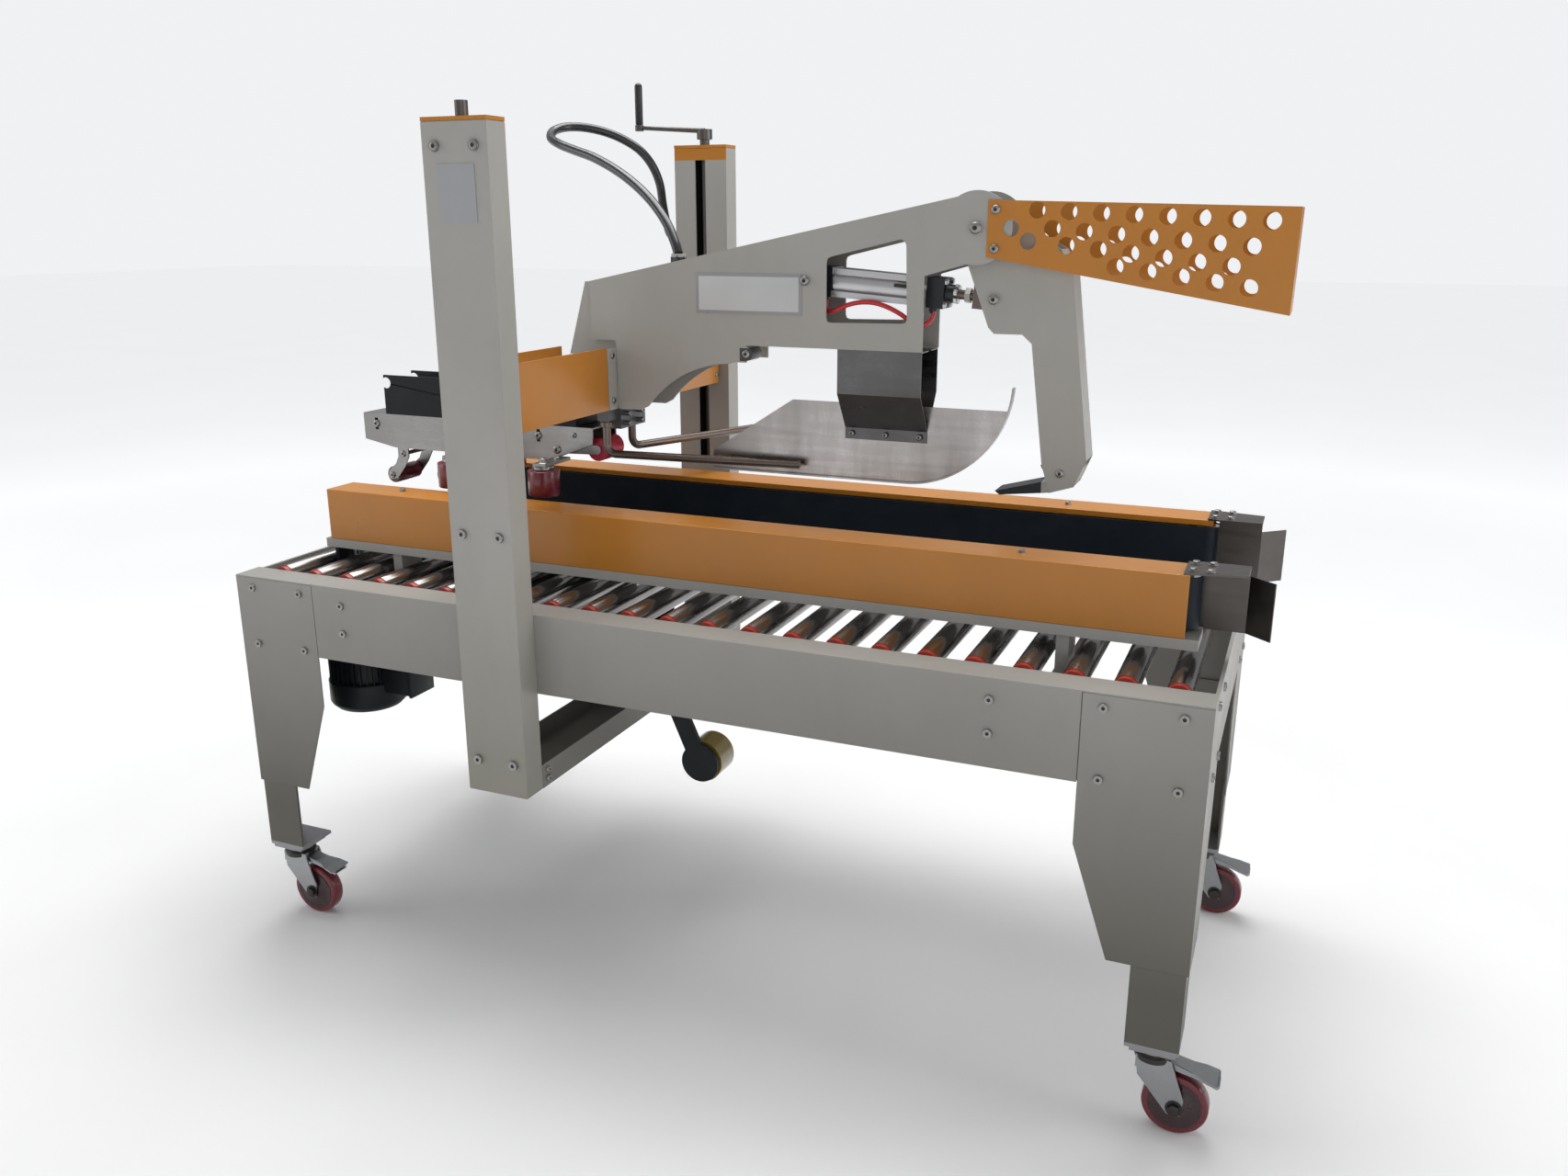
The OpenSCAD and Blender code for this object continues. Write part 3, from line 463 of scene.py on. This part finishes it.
class Hardware:
    """Collects the bolts of one body in two meshes: the heads, and near-black hexagons in their sockets
    that are painted shade in place of holes.
    """

    def __init__(self, body, label):
        self.body = body
        self.label = label
        self.heads = bmesh.new()
        self.sockets = bmesh.new()

    def socket_bolt(self, centre, axis, radius, height):
        """A button head with a hexagon socket, standing height over centre; the socket is a near-black
        hexagon just proud of the head, painted shade in place of a hole.
        """
        r = radius
        turned(self.heads, centre, axis, [(0, r), (height * 0.45, r), (height * 0.8, r * 0.86),
                                         (height, r * 0.62)])
        turned(self.sockets, centre + axis * height * MM * 0.9, axis, [(0, r * 0.42), (0.25 + height * 0.1,
                                                                                   r * 0.42)], 6)

    def hex_bolt(self, centre, axis, radius, height):
        """A hexagon head on a washer."""
        turned(self.heads, centre, axis, [(0, radius * 1.35), (1.2, radius * 1.35), (1.3, radius * 1.25)])
        turned(self.heads, centre, axis, [(1.2, radius * 1.1), (height - 0.6, radius * 1.1),
                                         (height, radius * 0.95)], 6)

    def done(self):
        add_mesh(f"{self.label}_bolts", self.heads, self.body, screw_steel)
        if self.sockets.verts:
            add_mesh(f"{self.label}_sockets", self.sockets, self.body, painted_socket_shade)
        else:
            self.sockets.free()


NEAR = Vector((0, -1, 0))
FAR = Vector((0, 1, 0))
UP = Vector((0, 0, 1))
RIGHT = Vector((1, 0, 0))
LEFT = Vector((-1, 0, 0))


def frame_hardware():
    hw = Hardware("frame", "frame")
    for side in (NEAR, FAR):
        s = side.y
        for x in (-315, -243):
            for z in (450, 852, 1458):
                hw.socket_bolt(at(x, s * 438, z), side, 8.6, 5.1)
        for x in (-841, -730, 730, 841):
            for z in (578, 688):
                hw.socket_bolt(at(x, s * 390, z), side, 7.2, 4.1)
        for x in (-634, 566):
            for z in (623, 676):
                hw.socket_bolt(at(x, s * 390, z), side, 7.2, 4.1)
        for end in (RIGHT, LEFT):
            for y in (235, 320):
                for z in (578, 688):
                    hw.socket_bolt(at(end.x * 880, s * y, z), end, 7.2, 4.1)
        for z in (404, 421):
            hw.socket_bolt(at(-219, s * 372, z), RIGHT, 6, 4)
    hw.done()


def head_hardware():
    hw = Hardware("head", "head")
    for side in (NEAR, FAR):
        s = side.y
        hw.socket_bolt(at(430, s * 56, 1338), side, 9.5, 5)
        hw.socket_bolt(at(137, s * 55, 1251), side, 8, 5)
        for z in (1306, 1366):
            hw.socket_bolt(at(461, s * 54.2, z), side, 7, 3.5)
        for x in (208, 270, 332):
            hw.socket_bolt(at(x, s * 6.5, 988), side, 5.2, 3)
        for x in (-811, -421):
            hw.socket_bolt(at(x, s * 45, 950), side, 7.5, 4)
        hw.socket_bolt(at(-380, s * 45, 925), side, 8.5, 4)
        hw.socket_bolt(at(-572, s * 45, 925), side, 8.5, 4)
        hw.socket_bolt(at(-640, s * 45, 955), side, 5, 3)
        hw.socket_bolt(at(-340, s * 45, 955), side, 5, 3)
        hw.socket_bolt(at(-786, s * 39, 844), side, 6.5, 3)
        hw.socket_bolt(at(-755, s * 39, 890), side, 6.5, 2.5)
        for z in (1030, 1112):
            hw.socket_bolt(at(-238, s * 66, z), RIGHT, 6, 3.5)
            hw.socket_bolt(at(-239, s * 372, z), RIGHT, 5.5, 3)
    hw.socket_bolt(at(24, -50, 1123), NEAR, 7, 3)
    for y in (-22, 27):
        for z in (982, 1001):
            hw.socket_bolt(at(-230, y, z), RIGHT, 5.6, 3)
    hw.done()


def kicker_hardware():
    hw = Hardware("kicker", "kicker")
    for side in (NEAR, FAR):
        hw.socket_bolt(at(459, side.y * 35, 1226), side, 8, 4)
        hw.socket_bolt(at(582, side.y * 30, 948), side, 7, 4)
    hw.done()


def drive_hardware(side, body):
    hw = Hardware(body, body)
    s = side.y
    for x in (-638, 560):
        hw.hex_bolt(at(x, s * 190, 850), UP, 4.6, 6)
    for x in (820, 845):
        for y in (167, 210):
            hw.hex_bolt(at(x, s * y, 853), UP, 5.5, 5)
    for x in (-637.5, 637.5):
        for dx in (-9, 9):
            hw.socket_bolt(at(x + dx, s * 222, 641), side, 3.2, 2.5)
    hw.done()


frame_hardware()
head_hardware()
kicker_hardware()
drive_hardware(NEAR, "drive_near")
drive_hardware(FAR, "drive_far")


# ---- supply hose and the cylinder's air hose ----


def hose(name, route, radius_mm, node, body, material):
    path = smooth_route([at(*p) for p in route], 6)
    bm = bmesh.new()
    sweep(bm, path, radius_mm * MM)
    obj = add_mesh(name, bm, body, material)
    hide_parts(node)
    return obj, path


supply, supply_path = hose("supply_hose_tube", SUPPLY_ROUTE, 9, "supply_hose", None,
                           hose_rubber)
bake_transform(supply)
air, air_path = hose("air_hose_tube", AIR_ROUTE, 4, "air_hose", "cylinder_body", air_red)


# ---- pieces that add to the CAD solids ----

def gland_rings():
    bm = bmesh.new()
    turned(bm, at(-339, 420, 1318), LEFT, [(0, 15), (7, 15), (8, 13.4), (13.8, 13.4)], 6)
    add_mesh("column_gland_nut", bm, "frame", black_plastic)
    bm = bmesh.new()
    turned(bm, at(-131, 0, 1276), UP, [(0, 15), (10, 15), (11, 13.4), (15.8, 13)], 6)
    add_mesh("boom_gland_nut", bm, "head", black_plastic)


def name_plate():
    """A blank plate on each side of the boom; its material gives it a darker border."""
    for side, label in ((NEAR, "near"), (FAR, "far")):
        bm = bmesh.new()
        s = side.y
        low, high = at(-72, s * 50, 1192), at(130, s * 50.9, 1262)
        block(bm, Vector(map(min, low, high)), Vector(map(max, low, high)), 0.3)
        add_mesh(f"boom_plate_{label}", bm, "head", plate_paint)


def plate_material():
    """Satin plate with a slightly darker border and nothing printed on it."""
    s = Surface("plain_plate")
    field = s.blend_color(s.remap(s.noise(5, 4), 0, 1), (0.5, 0.51, 0.51), (0.56, 0.57, 0.57))
    inner = s.inside({"x": (row_x(-66), row_x(124)), "z": (1.198, 1.256)})
    base = s.blend_color(inner, (0.3, 0.3, 0.31), field)
    s.bump(s.noise(400, 2), 0.05)
    return s.apply(base, s.remap(s.noise(12, 3), 0.25, 0.4))


plate_paint = plate_material()


def spring(bm, start, end, coil_r, wire_r, turns):
    """A helical spring between two points."""
    axis = end - start
    a = axis.normalized()
    side = a.orthogonal().normalized()
    up = a.cross(side)
    steps = turns * 12
    path = [start + axis * (k / steps) + coil_r * (math.cos(2 * math.pi * k / 12) * side
            + math.sin(2 * math.pi * k / 12) * up) for k in range(steps + 1)]
    sweep(bm, path, wire_r, 8)


def tape_head_details():
    bm = bmesh.new()
    spring(bm, at(-585, -24, 958), at(-470, -24, 958), 0.006, 0.0011, 26)
    spring(bm, at(-585, 24, 958), at(-470, 24, 958), 0.006, 0.0011, 26)
    for y in (-24, 24):
        for x in (-585, -470):
            turned(bm, at(x, y - 8, 958), FAR, [(0, 2.2), (16, 2.2)], 12)
    turned(bm, at(-700, -42, 940), FAR, [(0, 8), (84, 8)], 20)
    add_mesh("tape_head_springs", bm, "head", screw_steel)


def press_arm_details():
    """Clamp collars on the spindles of the four upright rollers."""
    bm = bmesh.new()
    for x, s in ((-365, -1), (-571, -1), (-600, 1), (-690, 1)):
        turned(bm, at(x, s * 118, 907), UP, [(0, 13), (5, 13), (7, 10), (8, 7), (14, 7), (15, 5)])
        turned(bm, at(x, s * 70, 913), UP, [(0, 6), (3, 6), (4, 4.5)], 6)
    add_mesh("press_arm_nuts", bm, "head", screw_steel)
    bm = bmesh.new()
    turned(bm, at(-262, -55, 978), UP, [(0, 11), (0.6, 11.5), (9, 11.5), (9.6, 11)])
    add_mesh("near_rod_collar", bm, "rod_near", rod_steel)


def groove_rail(bm, put, low, high):
    """One corner rib of the cylinder's square profile tube, placed by put."""
    v = [bm.verts.new(put(x, y, z)) for x in (low[0], high[0]) for y in (low[1], high[1])
         for z in (low[2], high[2])]
    for face in ((0, 1, 3, 2), (4, 6, 7, 5), (0, 4, 5, 1), (2, 3, 7, 6), (0, 2, 6, 4), (1, 5, 7, 3)):
        bm.faces.new([v[i] for i in face])


profile_aluminium = steel("profile_aluminium", (0.6, 0.6, 0.61), 0.33, ALONG_X, smear=0.3)


def cylinder_details():
    bm = bmesh.new()
    tilt = math.atan2(25, 322)
    turn = Matrix.Translation(at(137, 0, 1251)) @ Matrix.Rotation(tilt, 4, "Y")

    def put(x, y, z):
        return turn @ (Vector((x, y, z)) * MM)

    along = (turn.to_3x3() @ RIGHT).normalized()
    down = (turn.to_3x3() @ Vector((0, 0, -1))).normalized()
    for y in (-19, 19):
        for z in (-19, 19):
            groove_rail(bm, put, (38, y - 5, z - 5), (206, y + 5, z + 5))
            turned(bm, put(236, y, z), along, [(0, 5.5), (4, 5.5), (4.5, 4.6)], 6)
            turned(bm, put(12, y, z), -along, [(0, 5.5), (4, 5.5), (4.5, 4.6)], 6)
    turned(bm, put(256, 0, 0), along, [(-6, 17), (-0.5, 17), (0.5, 15.5)], 6)
    add_mesh("cylinder_profile", bm, "cylinder_body", profile_aluminium, smooth=False)
    bm = bmesh.new()
    for x, y in ((24.5, -14), (217, -12)):
        turned(bm, put(x, y, -25), down, [(-2, 7), (5, 7), (6, 5.6), (9, 5.6)], 12)
    turned(bm, put(150, -25, 6), along, [(0, 4), (24, 4)], 4)
    add_mesh("cylinder_fittings", bm, "cylinder_body", black_plastic)
    bm = bmesh.new()
    turned(bm, put(268, 0, 0), along, [(0, 13), (9, 13), (10, 12)], 6)
    add_mesh("rod_lock_nut", bm, "piston_rod", screw_steel)


def caster_details():
    for name, sx, sy in (("nr", 1, -1), ("fr", 1, 1), ("nl", -1, -1), ("fl", -1, 1)):
        x, y = 838 * sx, 350 * sy
        bm = bmesh.new()
        for side in (NEAR, FAR):
            c = at(x + 38, y + side.y * 21, 50)
            turned(bm, c, side, [(0, 13), (1.6, 13), (1.8, 11)], 24)
            turned(bm, c, side, [(1.6, 9.6), (6.4, 9.6), (7, 8.4)], 6)
        turned(bm, at(x, y, 122), UP, [(0, 28.5), (5, 30), (9, 30), (12, 27), (14, 27)], 40)
        add_mesh(f"caster_hardware_{name}", bm, f"caster_{name}", hub_steel)
        bm = bmesh.new()
        for side in (NEAR, FAR):
            turned(bm, at(x + 38, y + side.y * 12, 50), side,
                   [(0, 40), (1.7, 40), (1.2, 37), (1.2, 20), (4.4, 15), (4.9, 12)], 40)
        add_mesh(f"wheel_disc_{name}", bm, f"wheel_{name}", hub_paint)
        bm = bmesh.new()
        s = [(24, 12), (60, 14), (78, 22), (96, 24), (99, 18)]
        low = [(24, 122), (60, 114), (78, 108), (96, 103), (99, 104)]
        rings = []
        for (px, half), (_, pz) in zip(s, low):
            rings.append([bm.verts.new(at(x + px, y + k * half, pz + h))
                          for k, h in ((-1, 0), (1, 0), (1, 3), (-1, 3))])
        for p, q in zip(rings, rings[1:]):
            for k in range(4):
                bm.faces.new((p[k], p[(k + 1) % 4], q[(k + 1) % 4], q[k]))
        bm.faces.new(rings[0][::-1])
        bm.faces.new(rings[-1])
        add_mesh(f"brake_pedal_{name}", bm, f"caster_{name}", zinc, smooth=False)


hub_paint = rubber("hub_plastic", (0.035, 0.01, 0.012), 0.3, 200, 0.08, coat=0.3)


def motor(side, label, node):
    """A finned motor under a worm gearbox, with a fan cowl and a terminal box."""
    bm = bmesh.new()
    x0, y0 = -780, side.y * 175
    block(bm, at(x0 - 50, y0 - 45, 567), at(x0 + 50, y0 + 45, 639), 5)
    for z in (580, 603, 626):
        block(bm, at(x0 - 51.5, y0 - 46, z - 2), at(x0 + 51.5, y0 + 46, z + 2), 1)
    turned(bm, at(x0, y0, 548), UP, [(0, 70), (4, 77), (17, 77), (19, 74)], 40)
    turned(bm, at(x0, y0, 450), UP, [(0, 66), (98, 66)], 48)
    for k in range(36):
        a = 2 * math.pi * k / 36
        d = Vector((math.cos(a), math.sin(a), 0))
        e = Vector((-d.y, d.x, 0)) * 1.3 * MM
        p, q = at(x0, y0, 452) + d * 64 * MM, at(x0, y0, 452) + d * 74.5 * MM
        lift = UP * 94 * MM
        v = [bm.verts.new(c) for c in (p - e, p + e, q + e * 0.6, q - e * 0.6)]
        w = [bm.verts.new(c.co + lift) for c in v]
        for i in range(4):
            bm.faces.new((v[i], v[(i + 1) % 4], w[(i + 1) % 4], w[i]))
        bm.faces.new(v[::-1])
        bm.faces.new(w)
    turned(bm, at(x0, y0, 392), UP, [(0, 52), (2, 66), (10, 74), (16, 77), (58, 77), (60, 75)], 48)
    for k in range(4):
        turned(bm, at(x0, y0, 390.5), UP, [(0, 46 - k * 11), (2, 46 - k * 11), (2, 42 - k * 11),
                                          (1.9, 41 - k * 11)], 36)
    block(bm, at(x0 + 62, y0 - 34, 433), at(x0 + 137, y0 + 34, 544), 4)
    block(bm, at(x0 + 131, y0 - 36, 431), at(x0 + 137.5, y0 + 36, 546), 1.5)
    turned(bm, at(x0 + 100, y0, 424), UP, [(0, 10), (4, 12), (10, 12)], 6)
    block(bm, at(x0 - 24, y0 - 31, 640), at(x0 - 15, y0 + 31, 734.5), 1)
    obj = add_mesh(f"gear_motor_{label}", bm, f"drive_{label}", black_paint)
    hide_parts(node)


def seam_strips():
    """Backing strips behind the joints between the rails and the leg shells."""
    bm = bmesh.new()
    for x in (-699.5, 699.5):
        for y in (-385, 385):
            block(bm, at(x - 9, y - 1.8, 570), at(x + 9, y + 1.8, 705), 0.4)
    add_mesh("rail_backing_strips", bm, "frame", frame_grey)


gland_rings()
seam_strips()
name_plate()
tape_head_details()
press_arm_details()
cylinder_details()
caster_details()
motor(NEAR, "near", "motor_near")
motor(FAR, "far", "motor_far")


# ---- softened edges on the CAD pieces ----

EDGE = {"drive_cover_near": 2.0, "drive_cover_far": 2.0, "column_near": 1.6, "column_far": 1.6,
        "beam_covers": 0.9, "tape_box": 0.8, "leg_shells": 0.8, "rail_near": 0.8, "rail_far": 0.8,
        "boom": 0.9, "kicker_arm": 0.9, "boom_bracket": 0.8, "crank_grip": 1.5, "head_beam": 1.2,
        "base_beam": 1.2, "drive_base_near": 1.0, "drive_base_far": 1.0, "press_roller_1": 2.0,
        "press_roller_2": 2.0, "press_roller_3": 2.0, "press_roller_4": 2.0, "exit_roller": 2.0,
        "caster_wheel_nr": 4.0, "caster_wheel_fr": 4.0, "caster_wheel_nl": 4.0,
        "caster_wheel_fl": 4.0, "tape_frame": 0.6, "infeed_guide_near": 0.6, "infeed_guide_far": 0.6,
        "air_cylinder": 1.5, "guard": 0.4, "lower_tape_head": 0.8, "caster_fork_nr": 0.8,
        "caster_fork_fr": 0.8, "caster_fork_nl": 0.8, "caster_fork_fl": 0.8, "bed_rollers": 0.6}


def soften(name, width_mm):
    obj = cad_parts[name]
    weld = obj.modifiers.new("weld", "WELD")
    weld.merge_threshold = 0.00002
    bevel = obj.modifiers.new("bevel", "BEVEL")
    bevel.width = width_mm * MM
    bevel.segments = 2
    bevel.limit_method = "ANGLE"
    bevel.angle_limit = math.radians(40)
    bevel.harden_normals = True


for node_name, width in EDGE.items():
    soften(node_name, width)


# ---- studio ----

def floor():
    bm = bmesh.new()
    bmesh.ops.create_grid(bm, x_segments=1, y_segments=1, size=30)
    mesh = bpy.data.meshes.new("floor")
    bm.to_mesh(mesh)
    bm.free()
    obj = bpy.data.objects.new("floor", mesh)
    bpy.context.scene.collection.objects.link(obj)
    s = Surface("pale_floor")
    base = s.blend_color(s.remap(s.noise(1.2, 3), 0, 1), (0.8, 0.8, 0.8), (0.84, 0.84, 0.84))
    distance = s.nodes.new("ShaderNodeVectorMath")
    distance.operation = "LENGTH"
    s.links.new(s.coord, distance.inputs[0])
    # Painted light: the floor glows white, not at all within 1.6 m of the scene's origin and rising to
    # strength 0.52 beyond 5.5 m.
    glow = s.remap(distance.outputs["Value"], 0, 0.52, 1.6, 5.5)
    s.links.new(glow, s.shader.inputs["Emission Strength"])
    s.shader.inputs["Emission Color"].default_value = (0.97, 0.98, 1, 1)
    mesh.materials.append(s.apply(base, 0.7))


def area_light(name, place, target, size, watts):
    data = bpy.data.lights.new(name, "AREA")
    data.shape = "RECTANGLE"
    data.size, data.size_y = size
    data.energy = watts
    obj = bpy.data.objects.new(name, data)
    obj.location = place
    obj.rotation_euler = (Vector(target) - Vector(place)).to_track_quat("-Z", "Y").to_euler()
    bpy.context.scene.collection.objects.link(obj)


floor()
area_light("overhead", (-0.4, 0.9, 4.2), (0, 0, 0.6), (3.6, 2.6), 170)
area_light("window_left", (-4.2, -1.6, 2.2), (0, 0, 0.8), (2.2, 2.6), 34)
area_light("window_right", (4.4, 0.4, 2.0), (0, 0, 0.9), (2.2, 2.2), 50)
area_light("fill_front", (2.6, -4.4, 1.9), (0, 0, 0.7), (3.0, 2.4), 20)
world = bpy.data.worlds.new("studio")
bpy.context.scene.world = world
world.use_nodes = True
background = world.node_tree.nodes["Background"]
background.inputs["Color"].default_value = (0.97, 0.98, 1.0, 1)
path_kind = world.node_tree.nodes.new("ShaderNodeLightPath")
backdrop = world.node_tree.nodes.new("ShaderNodeMapRange")
backdrop.inputs["To Min"].default_value = 0.42
backdrop.inputs["To Max"].default_value = 0.9
world.node_tree.links.new(path_kind.outputs["Is Camera Ray"], backdrop.inputs["Value"])
world.node_tree.links.new(backdrop.outputs["Result"], background.inputs["Strength"])
bpy.context.scene.view_settings.view_transform = "Standard"
